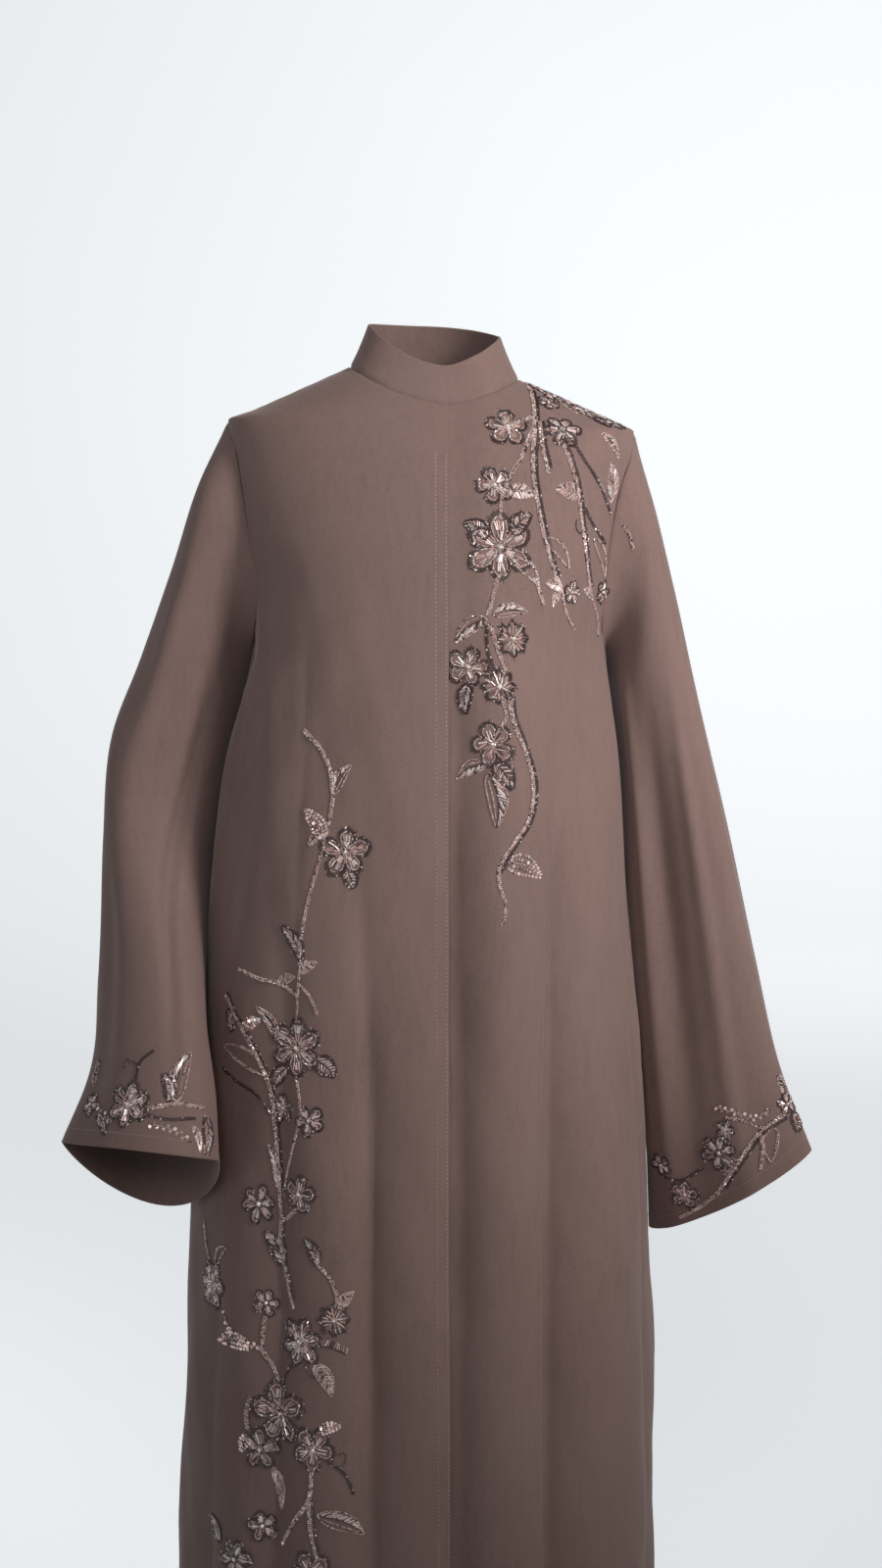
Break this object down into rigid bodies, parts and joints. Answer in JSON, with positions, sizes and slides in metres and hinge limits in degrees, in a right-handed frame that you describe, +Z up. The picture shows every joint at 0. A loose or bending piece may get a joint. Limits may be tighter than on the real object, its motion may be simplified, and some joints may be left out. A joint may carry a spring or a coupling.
{
  "type": "abaya cloak",
  "caption": "Long open-front abaya cloak in taupe crepe with a lapped stand collar and flared sleeves, beaded with flowers, held in its hollow worn pose.",
  "frame": {"origin": "middle of the neck, level with the shoulder neck points, where the garment hangs from its wearer's shoulders", "axes": "+Z up along the wearer, -Y to the wearer's front, +X to the wearer's left"},
  "size_m": [0.684, 0.3631, 1.4663],
  "materials": {
    "right_front_crepe": "matte crepe",
    "left_front_crepe": "matte crepe",
    "back_crepe": "matte crepe",
    "right_sleeve_crepe": "matte crepe",
    "left_sleeve_crepe": "matte crepe",
    "collar_crepe": "matte crepe",
    "glass_beads": "shiny rose glass beads and sequins",
    "sewing_thread": "satin thread"
  },
  "bodies": {
    "root": {"right_front": "right_front_crepe", "left_front": "left_front_crepe", "back": "back_crepe", "right_sleeve": "right_sleeve_crepe", "left_sleeve": "left_sleeve_crepe", "collar": "collar_crepe"}
  },
  "joints": []
}
